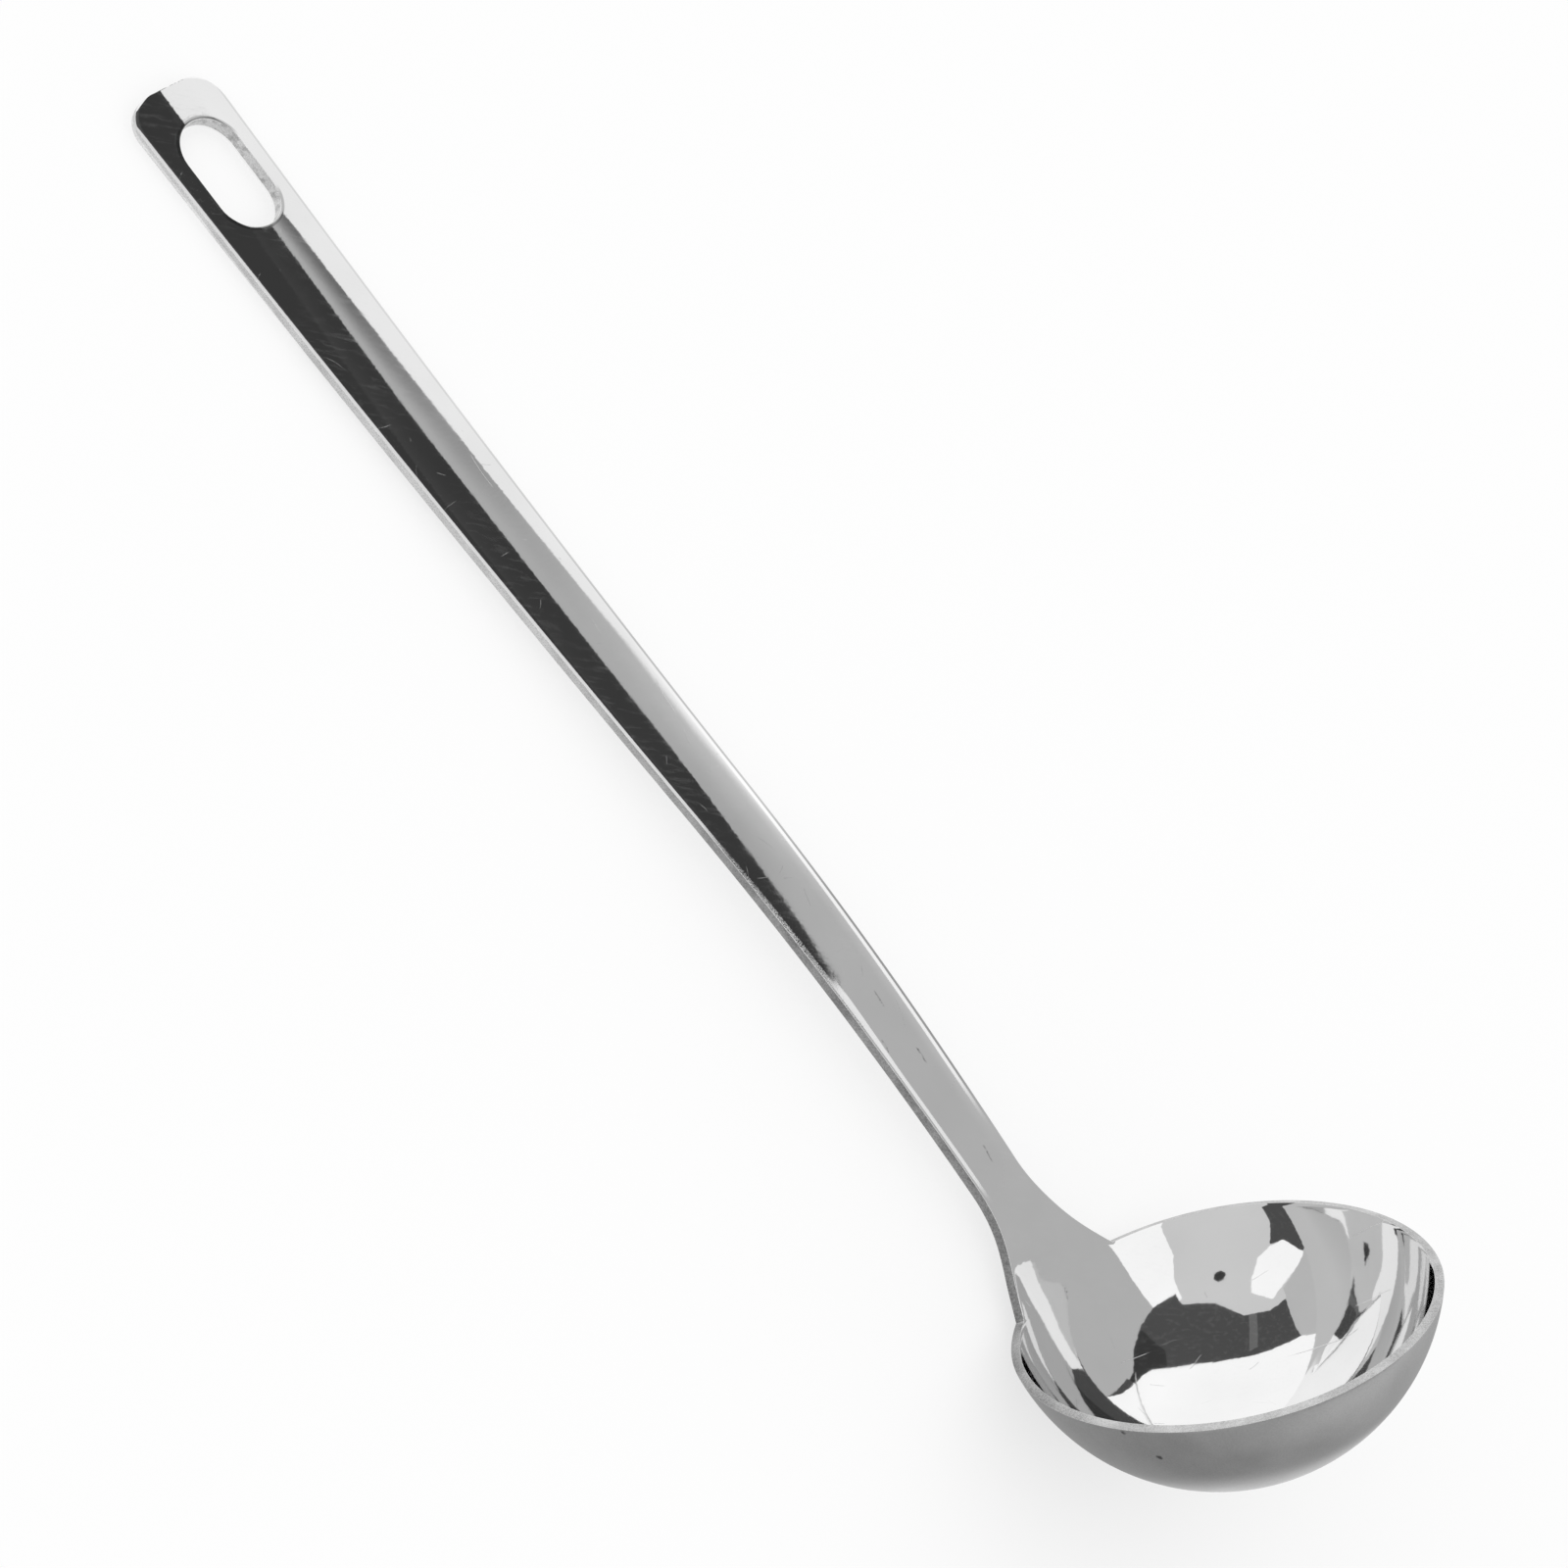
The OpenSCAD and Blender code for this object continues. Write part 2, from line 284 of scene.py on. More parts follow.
class Form:
    """The ladle's shape: where a place on the sheet lies, by its distances from the rim and the middle."""

    def __init__(self, s):
        self.s = s
        self.rim_r = s.rim_d / 2
        self.inner_r = (self.rim_r ** 2 + s.bowl_depth ** 2) / (2 * s.bowl_depth)
        self.outer_r = self.inner_r + s.wall_t
        self.centre_z = self.inner_r - s.bowl_depth
        self.centre = Vector((0, 0, self.centre_z))
        self.rim_slope = math.acos(self.centre_z / self.inner_r)
        self.upper_start = s.root_bend_l + s.lower_bend_l
        self.corner_start = s.handle_l - s.tip_corner_r
        self.slot_at = s.handle_l - s.slot_to_tip
        reach = max(self.turned(self.bowl_point(s.handle_l, 0, d)).x for d in (0, s.sheet_t))
        self.middle_x = (reach - self.outer_r) / 2

    def slope(self, l):
        """Slope of the sheet's middle line against the rim."""
        s = self.s
        if l < 0:
            return self.rim_slope + l / self.inner_r
        return (self.rim_slope
                - s.root_bend * clamp01(l / s.root_bend_l)
                - s.lower_bend * clamp01((l - s.root_bend_l) / s.lower_bend_l)
                + s.upper_bend * clamp01((l - self.upper_start) / (s.handle_l - self.upper_start)))

    def arc_step(self, start, end):
        """Step along one bend between two distances."""
        a, b = self.slope(start), self.slope(end)
        half = (b - a) / 2
        share = math.sin(half) / half if abs(half) > STRAIGHT else 1.0
        return (end - start) * share * Vector((math.cos(a + half), 0, math.sin(a + half)))

    def centre_line(self, l):
        """Point on the middle line of the top face."""
        if l < 0:
            a = self.slope(l)
            return Vector((self.inner_r * math.sin(a), 0, self.centre_z - self.inner_r * math.cos(a)))
        at, last = Vector((self.rim_r, 0, 0)), 0.0
        for stop in (self.s.root_bend_l, self.upper_start, self.s.handle_l):
            end = min(max(l, last), stop)
            at = at + self.arc_step(last, end)
            last = stop
        return at

    def half_width(self, l):
        s = self.s
        strip = (s.neck_w + (s.tip_w - s.neck_w) * l / s.handle_l) / 2
        flare = (s.flare_w - s.neck_w) / 2 * max(0.0, 1 - l / s.flare_l) ** 2
        past = max(0.0, l - self.corner_start)
        return strip + flare - (s.tip_corner_r - math.sqrt(max(0.0, s.tip_corner_r ** 2 - past ** 2)))

    def curve(self, l):
        """Curvature across the sheet, hollow like the bowl at the rim and crowned at the tip."""
        s = self.s
        hollow = (1 - ease(l / s.flat_at)) / self.inner_r
        return hollow - ease((l - s.flat_at) / (s.crown_at - s.flat_at)) / s.crown_r

    def thickness(self, l):
        s = self.s
        return s.wall_t + (s.sheet_t - s.wall_t) * clamp01(l / s.flare_l)

    def push(self, l, w):
        """Outward push that opens the rim where the bowl runs into the handle."""
        s = self.s
        beside = 1 - ease((abs(w) - s.flare_w * BLEND_FULL) / (s.flare_w * BLEND_FADE))
        within = s.blend_l * BLEND_WITHIN
        if l < 0:
            return s.blend_turn * within * math.exp(l / within) * beside
        return s.blend_turn * (within + l) * math.exp(-(l / s.blend_l) ** 2) * beside

    def wall_point(self, p, r):
        """Place of a point of the bowl's wall at a radius, with the push towards the handle."""
        way = (p - self.centre).normalized()
        polar = math.acos(-way.z)
        l = (polar - self.rim_slope) * self.inner_r
        w = self.inner_r * math.sin(polar) * math.atan2(way.y, way.x)
        return self.centre + way * (r + self.push(l, w))

    def bowl_point(self, l, w, depth):
        """Point of the handle in the bowl's frame, depth under its top face."""
        s = self.s
        past = max(0.0, abs(w) - self.half_width(l) + s.roll_w) / s.roll_w if l > 0 else 0.0
        rolled = s.roll_d * past ** 2 * ease(l / s.flare_l) if depth == 0 else 0.0
        depth += self.push(l, w) + rolled
        curve = self.curve(l)
        if abs(curve) < STRAIGHT:
            across, high = w, -depth
        else:
            r = 1 / curve
            across = (r + depth) * math.sin(w * curve)
            high = r - (r + depth) * math.cos(w * curve)
        drop = self.inner_r * (self.rim_slope - math.acos(
            min(1.0, math.cos(self.rim_slope) / math.cos(w / self.inner_r))))
        here = l - clamp01(1 - l / s.flare_l) * drop
        at, a = self.centre_line(here), self.slope(here)
        return at + Vector((-high * math.sin(a), across, high * math.cos(a)))

    def turned(self, p):
        return Matrix.Rotation(self.s.lie, 3, "Y") @ (p - Vector((0, 0, self.centre_z)))

    def placed(self, p):
        """From the bowl's frame to where the ladle lies on the table."""
        return self.turned(p) + Vector((-self.middle_x, 0, self.outer_r))


def even_rows(start, end, count):
    """Distances of evenly spaced rows over a stretch of the handle, without its start."""
    return [start + (end - start) * (i + 1) / count for i in range(count)]


def handle_rows(form):
    """Distances from the rim of all rows of the handle, and where the block round the slot starts and ends."""
    s = form.s
    slot_start = form.slot_at - s.slot_l / 2 - SLOT_MARGIN
    slot_end = form.slot_at + s.slot_l / 2 + SLOT_MARGIN
    rows = even_rows(0, s.flare_l, FLARE_ROWS)
    rows += even_rows(s.flare_l, slot_start, STRIP_ROWS)
    rows += even_rows(slot_start, slot_end, SLOT_ROWS)
    if slot_end < form.corner_start:
        rows += even_rows(slot_end, form.corner_start, END_ROWS)
    first = math.asin(clamp01((slot_end - form.corner_start) / s.tip_corner_r))
    rows += [form.corner_start + s.tip_corner_r * math.sin(a) for a in even_rows(first, math.pi / 2, TIP_ROWS)]
    return rows, slot_start, slot_end


def column_places(form, l, root_places):
    """Places across one row: even in azimuth at the rim, with a narrow column along each edge of the handle."""
    half = form.half_width(l)
    edge = min(EDGE_COLUMN, half / EDGE_PARTS)
    even = [-half, -half + edge]
    even += [(half - edge) * (2 * i / (COLUMNS - 2) - 1) for i in range(1, COLUMNS - 2)]
    even += [half - edge, half]
    share = ease(l / (form.s.flare_l * COLUMNS_SETTLE))
    return [r * half * (1 - share) + e * share for r, e in zip(root_places, even)]


def slot_outline(form, l, w):
    """The place on the slot's outline nearest to a place on the handle's top."""
    s = form.s
    straight = (s.slot_l - s.slot_w) / 2
    spine = min(max(l - form.slot_at, -straight), straight)
    out = Vector((l - form.slot_at - spine, w)).normalized() * (s.slot_w / 2)
    return form.slot_at + spine + out.x, out.y


def draw_out(bm, edges):
    """Extrudes a row of edges, and gives the points and the edges of the new row."""
    new = bmesh.ops.extrude_edge_only(bm, edges=edges)["geom"]
    points = [v for v in new if isinstance(v, bmesh.types.BMVert)]
    known = set(points)
    return points, [e for e in new if isinstance(e, bmesh.types.BMEdge) and known.issuperset(e.verts)]


def revolve_bowl(bm, form):
    """Inner face of the bowl, with finer steps where the handle leaves the rim."""
    turn = (form.s.flare_w / 2) / form.inner_r
    corner = math.asin(form.inner_r * math.sin(turn) / form.rim_r)
    centre = form.centre
    bottom = bm.verts.new(centre - Vector((0, 0, form.inner_r)))
    bmesh.ops.spin(bm, geom=[bottom], cent=centre, axis=(0, -1, 0), angle=form.rim_slope, steps=BOWL_ROWS)
    profile = list(bm.verts) + list(bm.edges)
    bmesh.ops.rotate(bm, verts=list(bm.verts), cent=centre, matrix=Matrix.Rotation(-corner, 3, "Z"))
    for angle, steps in ((2 * corner, COLUMNS), (2 * math.pi - 2 * corner, BOWL_COLUMNS)):
        profile = bmesh.ops.spin(
            bm, geom=profile, cent=centre, axis=(0, 0, 1), angle=angle, steps=steps)["geom_last"]
    bmesh.ops.remove_doubles(bm, verts=list(bm.verts), dist=NEAR)
    return corner


def extrude_handle(bm, form, corner, along, across):
    """Top face of the handle, drawn out of the rim row by row. Gives the rows of the block round the slot."""
    top = [v for v in bm.verts
           if abs(v.co.z) < NEAR and abs(math.atan2(v.co.y, v.co.x)) < corner + NEAR_TURN]
    top.sort(key=lambda v: v.co.y)
    if len(top) != COLUMNS + 1:
        raise RuntimeError(f"the handle's root has {len(top)} points")
    half = form.half_width(0)
    for v in top:
        v[along] = 0
        v[across] = form.inner_r * math.asin(v.co.y / form.inner_r)
    root_places = [v[across] / half for v in top]
    rows, slot_start, slot_end = handle_rows(form)
    edges = [e for e in bm.edges if e.verts[0] in top and e.verts[1] in top]
    block = []
    for l in rows:
        points, edges = draw_out(bm, edges)
        row = sorted(points, key=lambda v: v.co.y)
        for v, w in zip(row, column_places(form, l, root_places)):
            v[along], v[across] = l, w
            v.co = form.bowl_point(l, w, 0)
        if slot_start - NEAR < l < slot_end + NEAR:
            block.append(row[SLOT_COLUMNS:-SLOT_COLUMNS])
    return block


def cut_slot(bm, form, block, along, across):
    """Opens the hanging slot in a block of the top face, and draws its edge in to a round-ended outline."""
    inside = {v for row in block for v in row}
    faces = [f for f in bm.faces if inside.issuperset(f.verts)]
    bmesh.ops.delete(bm, geom=faces, context="FACES")
    inside = {v for v in inside if v.is_valid}
    edges = [e for e in bm.edges if e.is_boundary and inside.issuperset(e.verts)]
    for step in SLOT_STEPS:
        points, edges = draw_out(bm, edges)
        for v in points:
            l, w = v[along], v[across]
            to_l, to_w = slot_outline(form, l, w)
            v[along], v[across] = l + (to_l - l) * step, w + (to_w - w) * step
            v.co = form.bowl_point(v[along], v[across], 0)


def thicken(bm, form, along, across):
    """Gives the sheet its wall, outwards from the bowl and under the handle, and rounds its ground edges."""
    bmesh.ops.recalc_face_normals(bm, faces=list(bm.faces))
    lowest = min(bm.faces, key=lambda f: f.calc_center_median().z)
    if lowest.normal.z < 0:
        bmesh.ops.reverse_faces(bm, faces=list(bm.faces))
    over = set(bm.verts)
    bmesh.ops.solidify(bm, geom=list(bm.faces), thickness=form.s.wall_t)
    under = {v for v in bm.verts if v not in over}
    for points, r, depth_at in ((over, form.inner_r, lambda l: 0), (under, form.outer_r, form.thickness)):
        for v in points:
            if v[along] < 0:
                v.co = form.wall_point(v.co, r)
            else:
                v.co = form.bowl_point(v[along], v[across], depth_at(v[along]))
    for f in bm.faces:
        below = sum(v in under for v in f.verts)
        f.material_index = TOP if below == 0 else UNDER if below == len(f.verts) else EDGE
    if bm.calc_volume(signed=True) < 0:
        bmesh.ops.reverse_faces(bm, faces=list(bm.faces))
    rims = [e for e in bm.edges if {f.material_index for f in e.link_faces} in ({TOP, EDGE}, {UNDER, EDGE})]
    rounded = bmesh.ops.bevel(
        bm, geom=rims, offset=form.s.edge_r, offset_type="OFFSET", affect="EDGES", segments=ROUND_SEGMENTS,
        profile=0.5, material=-1, clamp_overlap=True)
    for f in rounded["faces"]:
        f.material_index = CORNER


def add_object(scene, name, bm):
    """Makes an object of the scene from a finished bmesh."""
    mesh = bpy.data.meshes.new(name)
    bm.to_mesh(mesh)
    bm.free()
    ob = bpy.data.objects.new(name, mesh)
    scene.collection.objects.link(ob)
    return ob


class LADLE_OT_ladle(bpy.types.Operator):
    """Models the ladle from one sheet: bowl, flare, handle and hanging slot"""
    bl_idname = "ladle.ladle"
    bl_label = "Ladle"

    def execute(self, context):
        form = Form(context.scene.ladle_sizes)
        bm = bmesh.new()
        along = bm.verts.layers.float.new("along")
        across = bm.verts.layers.float.new("across")
        corner = revolve_bowl(bm, form)
        for v in bm.verts:
            v[along] = -1
        block = extrude_handle(bm, form, corner, along, across)
        cut_slot(bm, form, block, along, across)
        thicken(bm, form, along, across)
        for v in bm.verts:
            v.co = form.placed(v.co)
        for f in bm.faces:
            f.smooth = True
        ob = add_object(context.scene, "ladle_sheet", bm)
        for make in (polished_steel, satin_steel, ground_steel, corner_steel):
            ob.data.materials.append(make(form.s, context.scene.ladle_finish))
        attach(ob, "root")
        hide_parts("ladle")
        return {"FINISHED"}


class Nodes:
    """Shorthand for the nodes of one material."""

    def __init__(self, tree):
        self.tree = tree

    def put(self, node, values):
        """Links or sets the inputs of a node."""
        for name, value in dict(values).items():
            if isinstance(value, bpy.types.NodeSocket):
                self.tree.links.new(value, node.inputs[name])
            else:
                node.inputs[name].default_value = value

    def node(self, kind, inputs=(), **settings):
        node = self.tree.nodes.new("ShaderNode" + kind)
        for name, value in settings.items():
            setattr(node, name, value)
        self.put(node, inputs)
        return node

    def math(self, operation, a, b=0.0):
        return self.node("Math", {0: a, 1: b}, operation=operation).outputs[0]

    def joined(self, operation, first, *others):
        for value in others:
            first = self.math(operation, first, value)
        return first

    def times(self, *values):
        return self.joined("MULTIPLY", *values)

    def most(self, *values):
        return self.joined("MAXIMUM", *values)

    def shifted(self, value, *shifts):
        """A value with masks added to it, each by its share."""
        for mask, share in shifts:
            value = self.math("ADD", value, self.times(mask, share))
        return value

    def ranged(self, value, start, end, low=0.0, high=1.0, kind="SMOOTHSTEP"):
        inputs = {"Value": value, "From Min": start, "From Max": end, "To Min": low, "To Max": high}
        return self.node("MapRange", inputs, interpolation_type=kind).outputs[0]

    def band(self, value, start, full, fade, end):
        """1 from full to fade, and 0 before start and past end."""
        return self.times(self.ranged(value, start, full), self.ranged(value, end, fade))

    def place(self):
        return self.node("TexCoord").outputs["Object"]

    def attribute(self, name):
        return self.node("Attribute", attribute_name=name).outputs["Fac"]

    def vector(self, operation, inputs):
        return self.node("VectorMath", inputs, operation=operation).outputs

    def distance(self, vector, centre):
        return self.vector("DISTANCE", {0: vector, 1: centre})["Value"]

    def dot(self, vector, way):
        return self.vector("DOT_PRODUCT", {0: vector, 1: way})["Value"]

    def tinted(self, colour, share):
        return self.vector("SCALE", {0: tuple(colour), "Scale": share})[0]

    def stretched(self, vector, factors):
        return self.node("Mapping", {"Vector": vector, "Scale": factors}).outputs[0]

    def turned(self, vector, angle):
        return self.node("VectorRotate", {"Vector": vector, "Angle": angle}, rotation_type="Z_AXIS").outputs[0]

    def noise(self, vector, scale, detail=2.0, seed=0.0, roughness=0.5):
        inputs = {"Vector": vector, "Scale": scale, "Detail": detail, "Roughness": roughness, "W": seed}
        return self.node("TexNoise", inputs, noise_dimensions="4D").outputs["Fac"]

    def scratches(self, vector, scale, length, width, share, turns=1.0):
        """Short scratches, one in a share of the cells of a cell pattern, turned by up to a share of a turn."""
        drift = self.node("TexNoise", {"Vector": vector, "Scale": scale * 2, "Detail": 0.0}).outputs["Color"]
        bent = self.vector("ADD", {0: vector, 1: self.vector("SCALE", {0: drift, 3: length * 0.25})[0]})[0]
        cell = self.node("TexVoronoi", {"Vector": bent, "Scale": scale}).outputs
        pick = self.node("SeparateColor", {"Color": cell["Color"]}).outputs
        from_middle = self.vector("SUBTRACT", {0: bent, 1: cell["Position"]})[0]
        turned = self.turned(from_middle, self.times(pick[0], turns * math.tau))
        axes = self.node("SeparateXYZ", {0: turned}).outputs
        line = self.ranged(self.math("ABSOLUTE", axes["Y"]), width, width * 0.3)
        ends = self.ranged(self.math("ABSOLUTE", axes["X"]), length / 2, length / 4)
        kept = self.ranged(pick[1], 1 - share, 1.001 - share)
        return self.times(line, self.times(ends, kept))

    def bump(self, height, distance, normal=None):
        inputs = {"Height": height, "Distance": distance}
        if normal is not None:
            inputs["Normal"] = normal
        return self.node("Bump", inputs).outputs[0]


def new_material(name):
    """A material, the shorthand for its nodes and its shader."""
    mat = bpy.data.materials.new(name)
    mat.use_nodes = True
    return mat, Nodes(mat.node_tree), mat.node_tree.nodes["Principled BSDF"]


def half_strip(n, s, along):
    """Half width of the tapered strip at a distance along the handle."""
    return n.math("ADD", n.times(along, (s.tip_w - s.neck_w) / s.handle_l / 2), s.neck_w / 2)


def slot_ring(n, s, along, across):
    """Distance from the slot's spine, and how far a place lies beyond the spine's ends."""
    from_middle = n.math("ABSOLUTE", n.math("SUBTRACT", along, s.handle_l - s.slot_to_tip))
    beyond = n.most(n.math("SUBTRACT", from_middle, (s.slot_l - s.slot_w) / 2), 0.0)
    ring = n.math("SQRT", n.math("ADD", n.times(beyond, beyond), n.times(across, across)))
    return ring, beyond


def in_bowl(n, along):
    """1 in the bowl, where the attribute is -1 all over, and 0 on the handle."""
    return n.ranged(along, -0.01, -0.5)


def polished_steel(s, finish):
    mat, n, steel = new_material("polished_steel")
    place, along, across = n.place(), n.attribute("along"), n.attribute("across")
    half = half_strip(n, s, along)
    left, right = n.math("SUBTRACT", half, across), n.math("ADD", half, across)
    slot_r = s.slot_w / 2
    ring, beyond = slot_ring(n, s, along, across)
    cloud = n.noise(place, 60, 3.0, 1)
    fine = n.noise(place, 3200, 2.0, 2)

    # Scratches of three lengths, and the arcs that were buffed round the slot
    marks = n.times(n.scratches(place, 55, 9 * MM, 0.07 * MM, 0.3), 0.8)
    for scale, length, width, share in ((110, 5, 0.05, 0.25), (190, 2.5, 0.06, 0.12)):
        marks = n.most(marks, n.times(n.scratches(place, scale, length * MM, width * MM, share), 0.6))
    round_slot = n.node("CombineXYZ", {"X": ring, "Y": n.times(along, 0.05)}).outputs[0]
    arcs = n.ranged(n.noise(round_slot, 2600, 1.0, 4), 0.58, 0.72)
    marks = n.most(marks, n.times(arcs, n.ranged(ring, slot_r + 1.6 * MM, slot_r), 0.25))

    # Dashes across the lower handle, and the dark ends of the slot's border
    dents = n.scratches(n.stretched(place, (0.5, 1.0, 1.0)), 170, 2.2 * MM, 0.3 * MM, 0.2, 0.04)
    dents = n.times(dents, n.ranged(n.noise(place, 900, 3.0, 21), 0.4, 0.6), n.band(along, *DENTED))
    burnt = n.times(n.ranged(ring, slot_r + 0.85 * MM, slot_r + 0.55 * MM), n.ranged(beyond, 0.5 * MM, 3 * MM))

    # Grain along the left edge, painted highlights along both edges, and a painted darker reflection line along the
    # right edge
    grain_edge = n.times(n.ranged(left, 1.1 * MM, 0.5 * MM), n.band(along, *GRAINED))
    # Painted highlight: lighter within a few millimetres of the right edge
    right_sheen = n.times(n.ranged(right, 4.0 * MM, 1.0 * MM), n.band(along, *RIGHT_SHEEN))
    past_left = n.math("SUBTRACT", left, n.ranged(along, 0.045, 0.07, 1.2 * MM, 1.9 * MM))
    # Painted highlights: narrow glints along both edges, lighter in colour and less metallic
    edge_sheen = n.most(
        n.times(n.ranged(past_left, 0.15 * MM, -0.15 * MM), n.ranged(left, 0.3 * MM, 0.5 * MM),
                n.band(along, *LEFT_GLINT)),
        n.times(n.band(right, 0.6 * MM, 0.75 * MM, 1.3 * MM, 1.7 * MM), n.band(along, *RIGHT_GLINT)),
        n.times(n.ranged(left, 0.6 * MM, 0.5 * MM), n.ranged(along, 0.095, 0.11)))
    # Painted reflection: a thin darker line along the right edge
    line = n.times(n.ranged(right, 0.75 * MM, 0.6 * MM), n.ranged(along, 0.028, 0.045),
                   n.ranged(along, 0.12, 0.2, 1.0, 0.4))

    # Slanting polishing lines
    slanted = n.stretched(n.turned(place, 0.7), (1.0, 0.15, 1.0))
    lines = n.noise(slanted, 1400, 2.0, 31)
    hatch = n.times(n.ranged(lines, 0.5, 0.7), n.ranged(n.noise(place, 32, 1.0, 33), 0.4, 0.6))
    brushed = n.times(n.ranged(lines, 0.5, 0.75), n.ranged(along, 0.03, 0.05), 0.03)

    tone = n.ranged(n.shifted(cloud, (marks, -0.4)), 0.0, 1.0, 0.92, 1.08, "LINEAR")
    # The painted highlights make the edges lighter and the painted reflection line makes the right edge darker; the
    # dashes and the slot's ends are darker too
    tone = n.shifted(tone, (right_sheen, 0.16), (dents, -0.6), (burnt, -0.4), (line, -0.4), (edge_sheen, 0.1))
    rough = n.times(n.ranged(cloud, 0.35, 0.75, 0.7, 1.3), finish.polished_roughness)
    teeth = n.noise(n.stretched(place, (1.0, 0.6, 0.6)), 1200, 1.0, 6)
    slow = n.bump(n.noise(place, 90, 1.0, 7), 1.2e-5, n.bump(teeth, 3.5e-6))
    grain = n.bump(n.times(n.ranged(fine, 0.42, 0.62), grain_edge), 4e-5, slow)
    # Where the glints are painted the steel is only partly metallic, so that the white surroundings light it
    n.put(steel, {
        "Metallic": n.shifted(
            n.ranged(edge_sheen, 0.0, 1.0, 1.0, 0.25), (hatch, -0.03), (marks, -0.12 * finish.wear)),
        "Base Color": n.tinted(finish.polished_colour, tone),
        "Roughness": n.shifted(rough, (marks, 0.44 * finish.wear), (brushed, 1.0), (grain_edge, 0.05)),
        "Normal": n.bump(n.most(marks, dents), 6e-6, grain),
    })
    return mat


def satin_steel(s, finish):
    mat, n, steel = new_material("satin_steel")
    place = n.place()
    cloud = n.noise(place, 70, 4.0, 8, 0.6)
    fine = n.noise(place, 3200, 3.0, 9)
    pits = n.node("TexVoronoi", {"Vector": place, "Scale": 260}).outputs
    pick = n.node("SeparateColor", {"Color": pits["Color"]}).outputs[0]
    edge = n.shifted(pits["Distance"], (n.noise(place, 1500, 2.0, 12), 0.25))
    pit = n.times(n.ranged(edge, 0.36, 0.22), n.ranged(pick, 0.955, 0.96))
    handle = n.ranged(n.attribute("along"), 0.0, 0.03)
    tone = n.math("ADD", n.ranged(cloud, 0.3, 0.7, 0.92, 1.08), n.ranged(fine, 0.3, 0.7, -0.06, 0.06))
    rough = n.times(
        n.ranged(cloud, 0.3, 0.7, 0.86, 1.14),
        n.ranged(handle, 0.0, 1.0, finish.satin_roughness, finish.satin_roughness * 0.6))
    n.put(steel, {
        "Metallic": 1,
        "Base Color": n.tinted(finish.satin_colour, n.shifted(tone, (handle, 0.6), (pit, -0.7))),
        "Roughness": n.shifted(rough, (pit, 0.2)),
        "Normal": n.bump(pit, -6e-5, n.bump(fine, 6e-6)),
    })
    return mat


def ground_steel(s, finish):
    mat, n, steel = new_material("ground_steel")
    place, along, across = n.place(), n.attribute("along"), n.attribute("across")
    fine = n.noise(place, 2600, 4.0, 14, 0.65)
    cloud = n.noise(place, 160, 3.0, 15)
    end = n.ranged(along, 0.1, 0.18)
    slot = n.ranged(slot_ring(n, s, along, across)[0], s.slot_w / 2 + 0.8 * MM, s.slot_w / 2 + 0.5 * MM)
    blots = n.times(slot, n.ranged(n.noise(place, 520, 3.0, 19), 0.5, 0.62))
    tone = n.math("ADD", n.ranged(fine, 0.3, 0.7, 0.84, 1.16), n.ranged(cloud, 0.3, 0.7, -0.12, 0.12))
    # Painted shade: darker on the neck's side faces, and lighter towards the tip as a painted reflection of the
    # white floor
    tone = n.shifted(tone, (n.band(along, *NECK_SHADE), -0.45), (end, 0.18), (in_bowl(n, along), -0.2),
                     (slot, -0.28), (blots, -0.25))
    n.put(steel, {
        "Metallic": 1,
        "Base Color": n.tinted(finish.ground_colour, tone),
        "Roughness": n.times(n.ranged(fine, 0.3, 0.7, 0.65, 1.35), finish.ground_roughness),
        "Normal": n.bump(fine, 3e-5),
    })
    return mat


def corner_steel(s, finish):
    mat, n, steel = new_material("corner_steel")
    place, along, across = n.place(), n.attribute("along"), n.attribute("across")
    # The corners are near white and only partly metallic: a painted highlight that the white surroundings light,
    # made patchy by this noise
    edge_sheen = n.noise(place, 500, 3.0, 17)
    # Painted reflection: darker and fully metallic along the right edge
    right = n.times(n.ranged(n.math("ADD", half_strip(n, s, along), across), 1.5 * MM, 1.0 * MM),
                    n.ranged(along, 0.02, 0.03))
    # Darker and more metallic on the rim, with less of the painted highlight
    rim = in_bowl(n, along)
    tone = n.shifted(n.ranged(edge_sheen, 0.3, 0.7, 1.0, 1.06), (right, -0.42), (rim, -0.2))
    n.put(steel, {
        "Metallic": n.shifted(n.ranged(edge_sheen, 0.3, 0.7, 0.35, 0.15), (right, 0.65), (rim, 0.5)),
        "Base Color": n.tinted(finish.corner_sheen_colour, tone),
        "Roughness": n.times(n.ranged(edge_sheen, 0.3, 0.7, 0.6, 1.4), finish.corner_roughness),
        "Normal": n.bump(n.noise(place, 1800, 2.0, 18), 6e-6),
    })
    return mat


class LADLE_OT_studio(bpy.types.Operator):
    """Adds the white table, the soft studio surroundings and the camera"""
    bl_idname = "ladle.studio"
    bl_label = "Studio"

    def execute(self, context):
        scene = context.scene
        tones = scene.ladle_studio
        scene.view_settings.view_transform = "Standard"
        make_camera(scene)
        make_table(scene, tones)
        make_cards(scene, tones)
        make_surroundings(scene, tones)
        return {"FINISHED"}


def make_camera(scene):
    cam = bpy.data.cameras.new("photo_camera")
    cam.lens = CAMERA_LENS
    cam.sensor_width = CAMERA_FILM
    cam.clip_end = CAMERA_SIGHT
    ob = bpy.data.objects.new("photo_camera", cam)
    right = Vector(CAMERA_RIGHT).normalized()
    forward = Vector(CAMERA_FORWARD)
    forward = (forward - right * forward.dot(right)).normalized()
    up = right.cross(forward)
    turn = Matrix((right, up, -forward)).transposed().to_4x4()
    ob.matrix_world = Matrix.Translation(CAMERA_AT) @ turn
    scene.collection.objects.link(ob)
    scene.camera = ob


